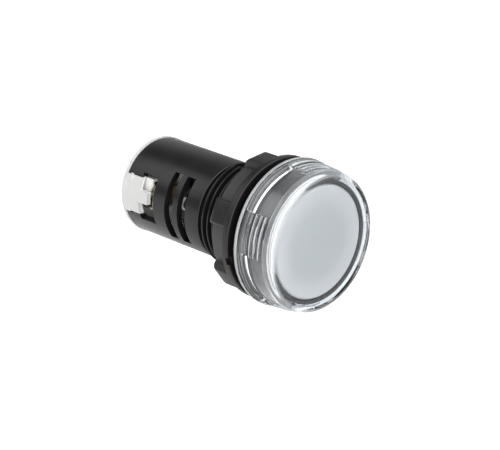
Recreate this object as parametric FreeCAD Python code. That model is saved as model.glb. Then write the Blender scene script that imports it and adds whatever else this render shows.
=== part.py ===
import FreeCAD, Part
import math
import os

# Panel pilot light for a 22 mm panel hole, in millimetres.
# The origin is the centre of the face that meets the front of the panel.
# +Y runs from the panel to the terminals, -Y to the lens, and +Z is up.
# Angles round the lamp start at +X and grow towards +Z.

Vector = FreeCAD.Vector
ORIGIN = Vector(0, 0, 0)
LAMP_AXIS = Vector(0, 1, 0)

# Barrel housing, from the thread that suits the panel hole inwards
thread_radius = 10.9
thread_depth = 1.3
thread_pitch = 1.5
thread_crest_width = 0.3
thread_base_width = 0.8
thread_gap_deg = 26.0
thread_run_out = 1.9
thread_length = 13.65
neck_length = 1.3
neck_relief = 0.3
barrel_step = 0.65
barrel_wall = 1.35
barrel_length = 22.65
barrel_end_round = 0.25

# Head of the housing: flange and collar
flange_thickness = 1.3
flange_step = 0.8
collar_radius = 12.7
collar_height = 6.05
collar_wall = 0.75

# Bayonet between the housing and the lens cap
bayonet_lug_width_deg = 16.0
bayonet_lug_height = 0.5
bayonet_lug_thickness = 1.0
bayonet_lug_setback = 2.4
bayonet_play = 0.15
bayonet_stop_width_deg = 6.0
bayonet_stop_play_deg = 0.5

# Lens cap
head_height = 10.45
lens_thickness = 2.0
cap_wall = 0.95
cap_skirt_wall = 0.65
cap_band_depth = 2.0
cap_edge_round = 1.0
cap_inner_round = 0.4
rim_step = 0.36
rim_depth = 0.75
rim_round = 0.15
ring_step = 0.25
ring_depth = 2.4
ring_land = 0.35
face_step = 0.3

# Grip pads on the lens cap
pad_count = 4
side_pad_width_deg = 34.0
cross_pad_width_deg = 45.0
pad_phase_deg = 170.0
pad_rear_step = 0.25
pad_front_step = 0.4
pad_groove_count = 4
pad_groove_depth = 0.4
pad_ridge_width = 0.2

# Gasket
gasket_thickness = 0.9
gasket_setback = 0.36

# Openings in the barrel wall
window_depth = 9.0
window_tail_depth = 4.5
window_tail_half = 4.0
window_throat_half = 4.25
window_mouth_half = 5.0
vent_width = 2.35
vent_half = 6.9
vent_pitch = 3.85
vent_setback = 12.5
vent_count = 2

# Lock nut
nut_standoff = 1.33
nut_height = 6.55
nut_wall = 2.02
nut_flange_thickness = 1.75
nut_flange_step = 1.9
nut_flange_round = 0.2
nut_rear_round = 0.3
nut_lug_setback = 0.25
nut_lug_width = 5.2
nut_lug_count = 6
nut_lug_phase_deg = 161.5
nut_lug_round = 1.0
nut_notch_width = 1.6
nut_notch_depth = 0.7
nut_notch_reach = 1.0
nut_notch_angle_deg = 198.0

# Terminal block
block_rim_step = 0.15
block_rim_thickness = 0.96
block_rim_round = 0.4
block_plate_thickness = 1.7
block_partition_width = 1.6
block_partition_length = 6.9
tongue_length = 4.3
tongue_thickness = 1.15
tongue_web_inset = 0.3
nub_length = 2.7
nub_width = 2.55
tooth_height = 0.3
tooth_length = 0.9
tooth_setback = 0.95
guard_thickness = 0.4
guard_inset = 0.85
guard_setback = 0.55
guard_drop = 0.65
guard_slant_start = 2.45
guard_slant_run = 1.5
roof_underside = 3.15
roof_thickness = 0.6

# Screw terminals
terminal_inset = 4.05
terminal_depth = 3.76
screw_head_radius = 2.75
screw_head_height = 1.6
screw_head_round = 0.5
screw_shank_radius = 1.45
screw_shank_length = 4.6
screw_tip_bevel = 0.3
screw_slot_width = 0.7
screw_slot_depth = 0.9
screw_cross_length = 3.3
screw_rest_deg = 25.0
clamp_thickness = 0.8
clamp_round = 0.4
clamp_lip = 2.4
clamp_lip_thickness = 0.5
clamp_opening = 2.2
contact_thickness = 1.0
contact_round = 0.2
contact_leg_width = 3.0
contact_leg_length = 4.3

# Light sources, their board and the diffuser over them
led_board_thickness = 1.2
led_count = 6
led_ring_radius = 6.2
led_first_deg = 30.0
led_length = 3.5
led_width = 2.8
led_height = 1.9
led_cup_radius = 1.1
led_cup_floor_radius = 0.8
led_cup_depth = 0.4
diffuser_wall = 0.8
diffuser_edge_round = 0.7

# Driver board in its guide ribs
board_thickness = 1.6
board_front = 9.0
guide_rib_width = 0.8
guide_rib_hold = 0.65
guide_rib_front = 6.0

# Parts on the driver board
capacitor_radius = 3.15
capacitor_length = 11.0
capacitor_setback = 1.6
capacitor_height = 0.6
capacitor_round = 0.4
crimp_depth = 0.35
crimp_half_width = 0.5
crimp_setback = 2.5
film_thickness = 5.0
film_length = 6.0
film_width = 9.0
film_round = 0.9
resistor_radius = 1.5
resistor_length = 8.0
resistor_standoff = 1.2
bleeder_radius = 1.15
bleeder_length = 6.3
bleeder_standoff = 0.6
diode_radius = 1.2
diode_length = 4.2
diode_standoff = 0.4
diode_count = 2
component_lead_radius = 0.3
component_lead_reach = 1.2
component_lead_bend = 0.9
part_spacing = 0.5

# Insulated wires from the driver board to the light sources, led round the can
wire_radius = 0.25
wire_bend = 0.8
wire_start_run = 1.9
wire_start_height = 6.3
wire_start_reach = 3.4
wire_turn_inset = 0.4
wire_turn_height = 3.9
wire_loop_run = 1.7
wire_loop_reach = 0.1
wire_loop_height = 0.1
wire_side_run = 0.2
wire_side_reach = 0.35
wire_side_height = -0.5
wire_tuck_run = 2.1
wire_tuck_inset = 0.32
wire_tuck_height = -2.2

# Clearances
cap_gasket_gap = 0.05
cap_flange_gap = 0.15
cap_lug_gap = 0.2
lens_gap = 0.25
diffuser_gap = 0.15
led_board_gap = 0.3
nut_running_gap = 0.08
gasket_bore_gap = 0.05
plug_gap = 0.1
snap_gap = 0.06
thread_fit_gap = 0.05
plate_fit_gap = 0.08
head_gap = 0.03
well_gap = 0.25
guide_gap = 0.1
board_side_gap = 0.45
board_end_gap = 0.3
clamp_side_gap = 0.1
clamp_lip_gap = 0.15
contact_side_gap = 0.05
screw_clear_gap = 0.6

# How far joined shapes run into each other, and cutters past the surface
weld = 0.1
overcut = 1.0

# Planes along the lamp, worked out from the sizes above
gasket_front = -gasket_thickness
flange_front = gasket_front - flange_thickness
collar_front = flange_front - collar_height
cap_rear = gasket_front - cap_gasket_gap
cap_front = -head_height
cap_ceiling = cap_front + lens_thickness
rim_front = cap_rear - rim_depth
band_front = rim_front - cap_band_depth
ring_rear = cap_front + ring_depth
diffuser_front = cap_ceiling + lens_gap
led_board_front = flange_front - led_board_thickness
panel_plane = 0.0
neck_end = panel_plane + neck_length
thread_end = neck_end + thread_length
barrel_end = thread_end + barrel_length
block_end = barrel_end + block_rim_thickness
block_plate_front = barrel_end - block_plate_thickness
window_front = barrel_end - window_depth
clamp_front = block_end - terminal_depth - clamp_thickness
contact_rear = clamp_front - clamp_opening
contact_front = contact_rear - contact_thickness
head_front = clamp_front + clamp_thickness + head_gap
partition_front = block_plate_front - block_partition_length
board_rear = partition_front - board_end_gap
capacitor_front = board_front + capacitor_setback
capacitor_rear = capacitor_front + capacitor_length
diode_step = 2 * diode_radius + part_spacing
first_diode = board_front + diode_radius + part_spacing
film_front = first_diode + (diode_count - 1) * diode_step + diode_radius + part_spacing
film_rear = film_front + film_length

# Radii and widths that follow from the fits
thread_root_radius = thread_radius - thread_depth
relief_radius = thread_radius - neck_relief
barrel_radius = thread_radius - barrel_step
bore_radius = barrel_radius - barrel_wall
collar_bore_radius = collar_radius - collar_wall
bayonet_radius = collar_radius + bayonet_lug_height
cap_bore_radius = bayonet_radius + cap_lug_gap
cap_wall_radius = cap_bore_radius + cap_wall
flange_radius = cap_bore_radius + flange_step
cap_skirt_radius = flange_radius + cap_flange_gap
cap_band_radius = cap_skirt_radius + cap_skirt_wall
rim_radius = cap_band_radius + rim_step
cap_ring_radius = cap_wall_radius + ring_step
cap_face_radius = cap_ring_radius - face_step
pad_rear_radius = cap_band_radius + pad_rear_step
pad_front_radius = cap_wall_radius + pad_front_step
gasket_radius = rim_radius - gasket_setback
diffuser_radius = collar_bore_radius - diffuser_gap
led_board_radius = collar_bore_radius - led_board_gap
nut_bore_radius = thread_radius + nut_running_gap
nut_hub_radius = nut_bore_radius + nut_wall
nut_flange_radius = nut_hub_radius + nut_flange_step
nut_lug_radius = nut_flange_radius - nut_lug_setback
plug_radius = bore_radius - plug_gap
block_rim_radius = barrel_radius + block_rim_step
guard_outer = plug_radius - guard_inset
guard_inner = guard_outer - guard_thickness
terminal_offset = plug_radius - terminal_inset
well_radius = screw_head_radius + well_gap
clamp_half_width = guard_inner - clamp_side_gap - terminal_offset
clamp_half_height = roof_underside - clamp_side_gap
contact_outer = guard_inner - contact_side_gap
contact_half_width = clamp_half_height - clamp_lip_thickness - clamp_lip_gap
board_face = board_thickness / 2
board_half_width = bore_radius - board_side_gap
capacitor_side = board_face + 2 * capacitor_radius


def in_radius(a, b):
    """A corner given as radius and place along the lamp."""
    return Vector(a, b, 0)


def across(y):
    """Corners given as x and z, in the plane across the lamp at y."""
    return lambda a, b: Vector(a, y, b)


def upright(x):
    """Corners given as y and z, in the upright plane along the lamp at x."""
    return lambda a, b: Vector(x, a, b)


def outline(corners, place):
    """A flat face from corners (a, b) or (a, b, rounding radius)."""
    points = [place(c[0], c[1]) for c in corners]
    edges = []
    starts = []
    ends = []
    arcs = []
    for i, corner in enumerate(corners):
        point = points[i]
        radius = corner[2] if len(corner) > 2 else 0
        if not radius:
            starts.append(point)
            ends.append(point)
            arcs.append(None)
            continue
        before = (points[i - 1] - point).normalize()
        after = (points[(i + 1) % len(points)] - point).normalize()
        half = before.getAngle(after) / 2
        reach = radius / math.tan(half)
        middle = (before + after).normalize() * (radius / math.sin(half) - radius)
        starts.append(point + before * reach)
        ends.append(point + after * reach)
        arcs.append(point + middle)
    for i in range(len(points)):
        if arcs[i] is not None:
            edges.append(Part.Arc(starts[i], arcs[i], ends[i]).toShape())
        following = (i + 1) % len(points)
        if ends[i].distanceToPoint(starts[following]) > 1e-6:
            edges.append(Part.makeLine(ends[i], starts[following]))
    return Part.Face(Part.Wire(edges))


def turned(corners, sweep_deg=360.0):
    """A solid of revolution about the lamp's axis, from corners (radius, y)."""
    return outline(corners, in_radius).revolve(ORIGIN, LAMP_AXIS, sweep_deg)


def at_angle(shape, angle_deg):
    """The shape turned about the lamp's axis, from +X towards +Z."""
    copy = shape.copy()
    copy.rotate(ORIGIN, Vector(0, -1, 0), angle_deg)
    return copy


def sector(corners, centre_deg, width_deg):
    """A part of a turned solid, width_deg wide, about the direction centre_deg."""
    return at_angle(turned(corners, width_deg), centre_deg + width_deg / 2)


def ring(inner, outer, y0, y1):
    """A plain ring between two radii and two planes."""
    return turned([(inner, y0), (outer, y0), (outer, y1), (inner, y1)])


def disc(radius, y0, y1, x=0.0, z=0.0):
    """A round bar along the lamp, between two planes."""
    return Part.makeCylinder(radius, y1 - y0, Vector(x, y0, z), LAMP_AXIS)


def block(x0, x1, y0, y1, z0, z1):
    """A straight block between three pairs of planes."""
    return Part.makeBox(x1 - x0, y1 - y0, z1 - z0, Vector(x0, y0, z0))


def fused(shapes):
    """One solid from several that touch."""
    return shapes[0].multiFuse(shapes[1:]).removeSplitter()


def mirrored(shape):
    """The same shape on the other side of the lamp."""
    return shape.mirror(ORIGIN, Vector(1, 0, 0))


def routed(points, radius, bend):
    """A round wire along straight runs, with a bend of one radius between them."""
    edges = []
    start = points[0]
    for i in range(1, len(points) - 1):
        back = (points[i - 1] - points[i]).normalize()
        onward = (points[i + 1] - points[i]).normalize()
        half = back.getAngle(onward) / 2
        reach = bend / math.tan(half)
        inner = (back + onward).normalize() * (bend / math.sin(half) - bend)
        edges.append(Part.makeLine(start, points[i] + back * reach))
        turn = Part.Arc(points[i] + back * reach, points[i] + inner, points[i] + onward * reach)
        edges.append(turn.toShape())
        start = points[i] + onward * reach
    edges.append(Part.makeLine(start, points[-1]))
    path = Part.Wire(edges)
    section = Part.Wire(Part.makeCircle(radius, points[0], points[1] - points[0]))
    return path.makePipeShell([section], True, False)


# Barrel housing: one black moulding from the lens collar to the terminal end

def housing_wall():
    """The turned wall: collar, flange, relief under the gasket, neck, thread root and barrel."""
    return turned([
        (bore_radius, flange_front),
        (bore_radius, barrel_end),
        (barrel_radius, barrel_end, barrel_end_round),
        (barrel_radius, thread_end, barrel_end_round),
        (thread_root_radius, thread_end),
        (thread_root_radius, neck_end),
        (thread_radius, neck_end),
        (thread_radius, panel_plane),
        (relief_radius, panel_plane),
        (relief_radius, gasket_front),
        (flange_radius, gasket_front),
        (flange_radius, flange_front),
        (collar_radius, flange_front),
        (collar_radius, collar_front, collar_wall / 4),
        (collar_bore_radius, collar_front),
        (collar_bore_radius, flange_front),
    ])


def thread_ridges():
    """Ridges on the neck, parted at top and bottom where the mould halves meet."""
    ridges = []
    last = thread_end - thread_run_out
    count = int((last - thread_base_width / 2 - neck_end) / thread_pitch) + 1
    half_deg = 180.0 - thread_gap_deg
    for i in range(count):
        y = last - i * thread_pitch
        profile = [
            (thread_root_radius - collar_wall / 4, y - thread_base_width / 2),
            (thread_root_radius, y - thread_base_width / 2),
            (thread_radius, y - thread_crest_width / 2),
            (thread_radius, y + thread_crest_width / 2),
            (thread_root_radius, y + thread_base_width / 2),
            (thread_root_radius - collar_wall / 4, y + thread_base_width / 2),
        ]
        for side in (0.0, 180.0):
            ridges.append(sector(profile, side, half_deg))
    return ridges


def bayonet_lugs():
    """Lugs round the collar that hold the lens cap, each with a stop at one end."""
    front = collar_front + bayonet_lug_setback
    rear = front + bayonet_lug_thickness
    inner = collar_radius - collar_wall / 2
    profile = [(inner, front), (bayonet_radius, front), (bayonet_radius, rear), (inner, rear)]
    stop = [(inner, front), (bayonet_radius, front), (bayonet_radius, flange_front), (inner, flange_front)]
    lugs = []
    for i in range(pad_count):
        angle = pad_phase_deg + i * 360.0 / pad_count
        lugs.append(sector(profile, angle, bayonet_lug_width_deg))
        beyond = (bayonet_lug_width_deg + bayonet_stop_width_deg) / 2
        lugs.append(sector(stop, angle - beyond, bayonet_stop_width_deg))
    return lugs


def guide_ribs():
    """Pairs of ribs in the bore, above and below, that hold the driver board's edges."""
    ribs = []
    inner = board_face + guide_gap
    tip = board_half_width - guide_rib_hold
    root = (bore_radius + barrel_radius) / 2
    for side in (-1, 1):
        for up in (-1, 1):
            x = sorted((side * inner, side * (inner + guide_rib_width)))
            z = sorted((up * tip, up * root))
            ribs.append(block(x[0], x[1], guide_rib_front, board_rear, z[0], z[1]))
    envelope = disc(thread_root_radius - collar_wall / 4, guide_rib_front, board_rear)
    return [rib.common(envelope) for rib in ribs]


def window_cutters():
    """The wire window on each side: open at the rear, flared where the wires go in."""
    wall_inner = math.sqrt(bore_radius ** 2 - window_mouth_half ** 2)
    wall_outer = math.sqrt(barrel_radius ** 2 - window_mouth_half ** 2)
    slope = (window_mouth_half - window_throat_half) / (wall_outer - wall_inner)
    deep = wall_inner - overcut
    far = barrel_radius + overcut
    far_half = window_mouth_half + slope * (far - wall_outer)
    mouth = [
        (-deep, -window_throat_half),
        (-wall_inner, -window_throat_half),
        (-far, -far_half),
        (-far, far_half),
        (-wall_inner, window_throat_half),
        (-deep, window_throat_half),
    ]
    tail_front = barrel_end - window_tail_depth
    flare = outline(mouth, across(window_front)).extrude(LAMP_AXIS * (tail_front - window_front))
    tail = block(-far, -deep, tail_front, barrel_end + overcut, -window_tail_half, window_tail_half)
    notches = []
    for up in (-1, 1):
        z = sorted((up * (window_tail_half - snap_gap), up * (window_tail_half + tooth_height)))
        y0 = barrel_end - tooth_setback - tooth_length - snap_gap
        y1 = barrel_end - tooth_setback + snap_gap
        notches.append(block(-far, -deep, y0, y1, z[0], z[1]))
    cutter = fused([flare, tail] + notches)
    return [cutter, mirrored(cutter)]


def vent_cutters():
    """Cooling slots through both sides of the barrel."""
    cutters = []
    far = barrel_radius + overcut
    near = math.sqrt(bore_radius ** 2 - vent_half ** 2) - overcut
    for i in range(vent_count):
        y1 = barrel_end - vent_setback - i * vent_pitch
        slot = block(-far, -near, y1 - vent_width, y1, -vent_half, vent_half)
        cutters.append(slot)
        cutters.append(mirrored(slot))
    return cutters


def barrel_housing():
    """The whole black moulding."""
    body = fused([housing_wall()] + thread_ridges() + bayonet_lugs() + guide_ribs())
    return body.cut(window_cutters() + vent_cutters())


# Lock nut and gasket

def lock_nut():
    """A flanged nut with finger lugs that run back from the flange."""
    front = nut_standoff
    rear = front + nut_height
    flange_rear = front + nut_flange_thickness
    body = turned([
        (nut_bore_radius, front),
        (nut_flange_radius, front, nut_flange_round),
        (nut_flange_radius, flange_rear, nut_flange_round),
        (nut_hub_radius, flange_rear),
        (nut_hub_radius, rear, nut_rear_round),
        (nut_bore_radius, rear),
    ])
    half = nut_lug_width / 2
    root = (nut_bore_radius + nut_hub_radius) / 2
    tip = nut_lug_radius + overcut
    plan = [(root, -half), (tip, -half), (tip, half), (root, half)]
    lug = outline(plan, across(flange_rear - weld)).extrude(LAMP_AXIS * (rear - flange_rear + weld))
    tip_round = turned([
        (0, flange_rear - overcut),
        (nut_lug_radius, flange_rear - overcut),
        (nut_lug_radius, rear, nut_lug_round),
        (0, rear),
    ])
    lug = lug.common(tip_round)
    step = 360.0 / nut_lug_count
    lugs = [at_angle(lug, nut_lug_phase_deg + i * step) for i in range(nut_lug_count)]
    nut = fused([body] + lugs)
    notch = block(
        nut_flange_radius - nut_notch_reach, nut_flange_radius + overcut,
        front - overcut, front + nut_notch_depth,
        -nut_notch_width / 2, nut_notch_width / 2,
    )
    return nut.cut(at_angle(notch, nut_notch_angle_deg))


def panel_gasket():
    """A flat rubber ring between the head and the panel."""
    return ring(thread_radius + gasket_bore_gap, gasket_radius, gasket_front, panel_plane)


# Lens cap and diffuser

def pad_profile():
    """Grip pad: a frosted land, then grooves parted by thin ridges."""
    run = band_front - ring_rear

    def crest(y):
        share = (rim_front - y) / (rim_front - ring_rear)
        return pad_rear_radius + (pad_front_radius - pad_rear_radius) * share

    land_base = (cap_skirt_radius + cap_band_radius) / 2
    wall_base = (cap_bore_radius + cap_wall_radius) / 2
    groove = (run - (pad_groove_count - 1) * pad_ridge_width) / pad_groove_count
    corners = [(land_base, rim_front), (crest(rim_front), rim_front), (crest(band_front), band_front)]
    for i in range(pad_groove_count):
        y0 = band_front - i * (groove + pad_ridge_width)
        y1 = y0 - groove
        corners.append((crest(y0) - pad_groove_depth, y0))
        corners.append((crest(y1) - pad_groove_depth, y1))
        if i < pad_groove_count - 1:
            corners.append((crest(y1), y1))
            corners.append((crest(y1 - pad_ridge_width), y1 - pad_ridge_width))
    corners.append((wall_base, ring_rear))
    corners.append((wall_base, band_front))
    corners.append((land_base, band_front))
    return corners


def lens_cap():
    """The clear cap: lens, wall, rim, grip pads and bayonet lugs in one moulding."""
    chamfer = cap_band_radius - cap_wall_radius
    shell = turned([
        (0, cap_ceiling),
        (cap_bore_radius, cap_ceiling, cap_inner_round),
        (cap_bore_radius, flange_front - cap_flange_gap),
        (cap_skirt_radius, flange_front - cap_flange_gap),
        (cap_skirt_radius, cap_rear),
        (rim_radius, cap_rear, rim_round),
        (rim_radius, rim_front, rim_round),
        (cap_band_radius, rim_front),
        (cap_band_radius, band_front + chamfer),
        (cap_wall_radius, band_front),
        (cap_wall_radius, ring_rear),
        (cap_ring_radius, ring_rear),
        (cap_ring_radius, ring_rear - ring_land),
        (cap_face_radius, cap_front, cap_edge_round),
        (0, cap_front),
    ])
    lug_front = collar_front + bayonet_lug_setback + bayonet_lug_thickness + bayonet_play
    lug_rear = lug_front + bayonet_lug_thickness
    lug_inner = collar_radius + cap_lug_gap
    lug_width_deg = bayonet_lug_width_deg - 2 * bayonet_stop_play_deg
    deep = (cap_bore_radius + cap_wall_radius) / 2
    lug = [(lug_inner, lug_front), (deep, lug_front), (deep, lug_rear), (lug_inner, lug_rear)]
    pieces = [shell]
    pad_widths_deg = (side_pad_width_deg, cross_pad_width_deg)
    for i in range(pad_count):
        angle = pad_phase_deg + i * 360.0 / pad_count
        pieces.append(sector(pad_profile(), angle, pad_widths_deg[i % 2]))
        pieces.append(sector(lug, angle, lug_width_deg))
    return fused(pieces)


def diffuser():
    """An opal cup over the light sources, standing on the rim of their board."""
    inner = diffuser_radius - diffuser_wall
    return turned([
        (0, diffuser_front),
        (diffuser_radius, diffuser_front, diffuser_edge_round),
        (diffuser_radius, led_board_front),
        (inner, led_board_front),
        (inner, diffuser_front + diffuser_wall, diffuser_wall / 2),
        (0, diffuser_front + diffuser_wall),
    ])


# Light sources and their board

def led_board():
    """A round board seated on the floor of the collar."""
    return disc(led_board_radius, led_board_front, flange_front)


def led(angle_deg):
    """A surface-mounted light source: a bevelled body with a shallow cup."""
    x0 = led_ring_radius - led_width / 2
    x1 = led_ring_radius + led_width / 2
    y0 = led_board_front - led_height
    body = block(x0, x1, y0, led_board_front, -led_length / 2, led_length / 2)
    floor = Vector(led_ring_radius, y0 + led_cup_depth, 0)
    cup = Part.makeCone(led_cup_floor_radius, led_cup_radius, led_cup_depth, floor, -LAMP_AXIS)
    return at_angle(body.cut(cup), angle_deg)


# Driver board and what it carries

def driver_board():
    """The supply board, on edge along the barrel in its guide ribs."""
    return block(-board_face, board_face, board_front, board_rear, -board_half_width, board_half_width)


def axial_part(x, y, body_radius, body_length, standoff, side):
    """A part with a lead at each end bent down to the board, lying up and down the lamp."""
    centre = x + side * (standoff + body_radius)
    body = turned_bar(centre, y, body_radius, body_length)
    reach = body_length / 2 + component_lead_reach
    points = [
        Vector(x, y, reach),
        Vector(centre, y, reach),
        Vector(centre, y, -reach),
        Vector(x, y, -reach),
    ]
    lead = routed(points, component_lead_radius, component_lead_bend)
    return fused([body, lead])


def turned_bar(x, y, radius, length):
    """A bar with rounded ends, lying up and down the lamp at x, y."""
    half = length / 2
    corners = [(0, -half), (radius, -half, radius / 3), (radius, half, radius / 3), (0, half)]
    bar = outline(corners, lambda a, b: Vector(a, 0, b)).revolve(ORIGIN, Vector(0, 0, 1), 360)
    bar.translate(Vector(x, y, 0))
    return bar


def smoothing_capacitor():
    """A can lying along the left face of the board, with a crimp near its base."""
    crimp = capacitor_rear - crimp_setback
    corners = [
        (0, capacitor_front),
        (capacitor_radius, capacitor_front, capacitor_round),
        (capacitor_radius, crimp - crimp_half_width),
        (capacitor_radius - crimp_depth, crimp),
        (capacitor_radius, crimp + crimp_half_width),
        (capacitor_radius, capacitor_rear, capacitor_round),
        (0, capacitor_rear),
    ]
    can = turned(corners)
    can.translate(Vector(-board_face - capacitor_radius, 0, capacitor_height))
    return can


def film_capacitor():
    """A dipped film capacitor lying flat on the right face of the board."""
    half = film_width / 2
    plan = [
        (film_front, -half, film_round),
        (film_rear, -half, film_round),
        (film_rear, half, film_round),
        (film_front, half, film_round),
    ]
    return outline(plan, upright(board_face)).extrude(Vector(film_thickness, 0, 0))


def dropping_resistor():
    """A tall resistor near the rear of the left face."""
    screw_tip = head_front - screw_shank_length - clamp_opening
    y = screw_tip - resistor_radius - screw_clear_gap
    return axial_part(-board_face, y, resistor_radius, resistor_length, resistor_standoff, -1)


def bleed_resistor():
    """A small resistor behind the film capacitor."""
    y = film_rear + part_spacing + bleeder_radius
    return axial_part(board_face, y, bleeder_radius, bleeder_length, bleeder_standoff, 1)


def rectifier_diode(index):
    """One of the diodes in a row at the front of the right face."""
    y = first_diode + index * diode_step
    return axial_part(board_face, y, diode_radius, diode_length, diode_standoff, 1)


def led_lead(side):
    """An insulated wire from the supply board forward to the board of the light sources."""
    start = capacitor_rear + wire_start_run
    route = [
        (board_face, start, wire_start_height),
        (board_face + wire_start_reach, start, wire_start_height),
        (capacitor_side - wire_turn_inset, capacitor_rear, wire_turn_height),
        (capacitor_side + wire_loop_reach, capacitor_rear + wire_loop_run, wire_loop_height),
        (capacitor_side + wire_side_reach, capacitor_rear + wire_side_run, wire_side_height),
        (capacitor_side - wire_tuck_inset, capacitor_rear - wire_tuck_run, wire_tuck_height),
        (capacitor_side - wire_tuck_inset, flange_front, wire_tuck_height),
    ]
    points = [Vector(side * x, y, z) for x, y, z in route]
    return routed(points, wire_radius, wire_bend)


# Terminal block and screw terminals

def block_guard():
    """A thin white wall outside each clamp, slanted where the wire goes in under it."""
    y0 = contact_front + guard_setback
    guard_top = roof_underside + roof_thickness
    rear = block_plate_front + weld
    corners = [
        (y0, guard_top),
        (y0, guard_slant_start),
        (y0 + guard_slant_run, -guard_drop),
        (rear, -guard_drop),
        (rear, guard_top),
    ]
    wall = outline(corners, upright(-guard_outer)).extrude(Vector(guard_thickness, 0, 0))
    roof = block(
        -guard_outer, -block_partition_width / 2,
        y0, rear,
        roof_underside, guard_top,
    )
    inside = disc(plug_radius, y0 - overcut, rear + overcut)
    return [piece.common(inside) for piece in (wall, roof)]


def block_tongue():
    """The tongue that fills the rear of the window, with its nub and snap teeth."""
    half = window_tail_half - snap_gap
    y0 = barrel_end - tongue_length
    inner = barrel_radius - tongue_thickness
    rear = barrel_end + weld
    shell = ring(inner, barrel_radius, y0 - nub_length, rear)
    plate = block(-barrel_radius, 0, y0, rear, -half, half)
    nub = block(-barrel_radius, 0, y0 - nub_length, y0 + weld, -nub_width / 2, nub_width / 2)
    teeth = []
    for up in (-1, 1):
        tooth = [
            (barrel_end - tooth_setback, up * (half - weld)),
            (barrel_end - tooth_setback, up * (half + tooth_height - snap_gap)),
            (barrel_end - tooth_setback - tooth_length, up * half),
            (barrel_end - tooth_setback - tooth_length, up * (half - weld)),
        ]
        teeth.append(outline(tooth, upright(-barrel_radius)).extrude(Vector(barrel_radius, 0, 0)))
    plan = fused([plate, nub] + teeth)
    web_outer = barrel_radius - tongue_web_inset
    web_inner = math.sqrt(plug_radius ** 2 - half ** 2) - weld
    web = block(-web_outer, -web_inner, block_plate_front, rear, -half, half)
    return [shell.common(plan), web]


def terminal_block():
    """The white moulding: rear plate, snap tongues, partition and clamp guards."""
    plate = turned([
        (0, block_plate_front),
        (plug_radius, block_plate_front),
        (plug_radius, barrel_end),
        (block_rim_radius, barrel_end),
        (block_rim_radius, block_end, block_rim_round),
        (0, block_end),
    ])
    half = block_partition_width / 2
    reach = math.sqrt(plug_radius ** 2 - half ** 2) - weld
    partition = block(-half, half, partition_front, block_plate_front + weld, -reach, reach)
    side = block_guard() + block_tongue()
    pieces = [plate, partition] + side + [mirrored(piece) for piece in side]
    body = fused(pieces)
    wells = []
    for x in (-terminal_offset, terminal_offset):
        wells.append(disc(well_radius, block_plate_front - overcut, block_end + overcut, x))
    return body.cut(wells)


def contact():
    """The left contact: a tapped plate across the lamp with a leg to the board."""
    inner = block_partition_width / 2
    outer_bend = contact_thickness + contact_round
    plan = [
        (-contact_outer, contact_rear),
        (-inner, contact_rear, outer_bend),
        (-inner, contact_front - contact_leg_length),
        (-inner - contact_thickness, contact_front - contact_leg_length),
        (-inner - contact_thickness, contact_front, contact_round),
        (-contact_outer, contact_front),
    ]
    flat = lambda a, b: Vector(a, b, -contact_half_width)
    strip = outline(plan, flat).extrude(Vector(0, 0, 2 * contact_half_width))
    trims = []
    for up in (-1, 1):
        z = sorted((up * contact_leg_width / 2, up * (contact_half_width + overcut)))
        leg_front = contact_front - contact_leg_length - overcut
        trims.append(block(-contact_outer, 0, leg_front, contact_front, z[0], z[1]))
    bore = screw_shank_radius + thread_fit_gap
    hole = disc(bore, contact_front - overcut, contact_rear + overcut, -terminal_offset)
    return strip.cut(trims + [hole])


def clamp_plate():
    """The left clamp: a square washer whose lips keep the wire under it."""
    half = clamp_half_height
    lip = half - clamp_lip_thickness
    x0 = -terminal_offset - clamp_half_width
    rear = clamp_front + clamp_thickness
    section = [
        (rear, -half, clamp_round),
        (rear, half, clamp_round),
        (clamp_front - clamp_lip, half),
        (clamp_front - clamp_lip, lip),
        (clamp_front, lip),
        (clamp_front, -lip),
        (clamp_front - clamp_lip, -lip),
        (clamp_front - clamp_lip, -half),
    ]
    plate = outline(section, upright(x0)).extrude(Vector(2 * clamp_half_width, 0, 0))
    bore = screw_shank_radius + plate_fit_gap
    return plate.cut(disc(bore, clamp_front - overcut, rear + overcut, -terminal_offset))


def terminal_screw():
    """The left screw: a pan head with a straight slot, and its shank."""
    rear = head_front + screw_head_height
    tip = head_front - screw_shank_length
    screw = turned([
        (0, tip),
        (screw_shank_radius - screw_tip_bevel, tip),
        (screw_shank_radius, tip + screw_tip_bevel),
        (screw_shank_radius, head_front),
        (screw_head_radius, head_front),
        (screw_head_radius, rear, screw_head_round),
        (0, rear),
    ])
    slot = block(
        -screw_head_radius, screw_head_radius,
        rear - screw_slot_depth, rear + overcut,
        -screw_slot_width / 2, screw_slot_width / 2,
    )
    cross = block(
        -screw_slot_width / 2, screw_slot_width / 2,
        rear - screw_slot_depth, rear + overcut,
        -screw_cross_length / 2, screw_cross_length / 2,
    )
    screw = screw.cut([slot, cross])
    screw.rotate(ORIGIN, LAMP_AXIS, screw_rest_deg)
    screw.translate(Vector(-terminal_offset, 0, 0))
    return screw


def build():
    """Every piece by its name."""
    parts = {
        "barrel_housing": barrel_housing(),
        "lock_nut": lock_nut(),
        "panel_gasket": panel_gasket(),
        "lens_cap": lens_cap(),
        "diffuser": diffuser(),
        "led_board": led_board(),
        "driver_board": driver_board(),
        "smoothing_capacitor": smoothing_capacitor(),
        "film_capacitor": film_capacitor(),
        "dropping_resistor": dropping_resistor(),
        "bleed_resistor": bleed_resistor(),
        "terminal_block": terminal_block(),
        "contact_left": contact(),
        "contact_right": mirrored(contact()),
        "clamp_plate_left": clamp_plate(),
        "clamp_plate_right": mirrored(clamp_plate()),
        "terminal_screw_left": terminal_screw(),
        "terminal_screw_right": mirrored(terminal_screw()),
        "led_lead_left": led_lead(-1),
        "led_lead_right": led_lead(1),
    }
    for i in range(led_count):
        parts[f"led_{i + 1}"] = led(led_first_deg + i * 360.0 / led_count)
    for i in range(diode_count):
        parts[f"rectifier_diode_{i + 1}"] = rectifier_diode(i)
    return parts


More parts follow.
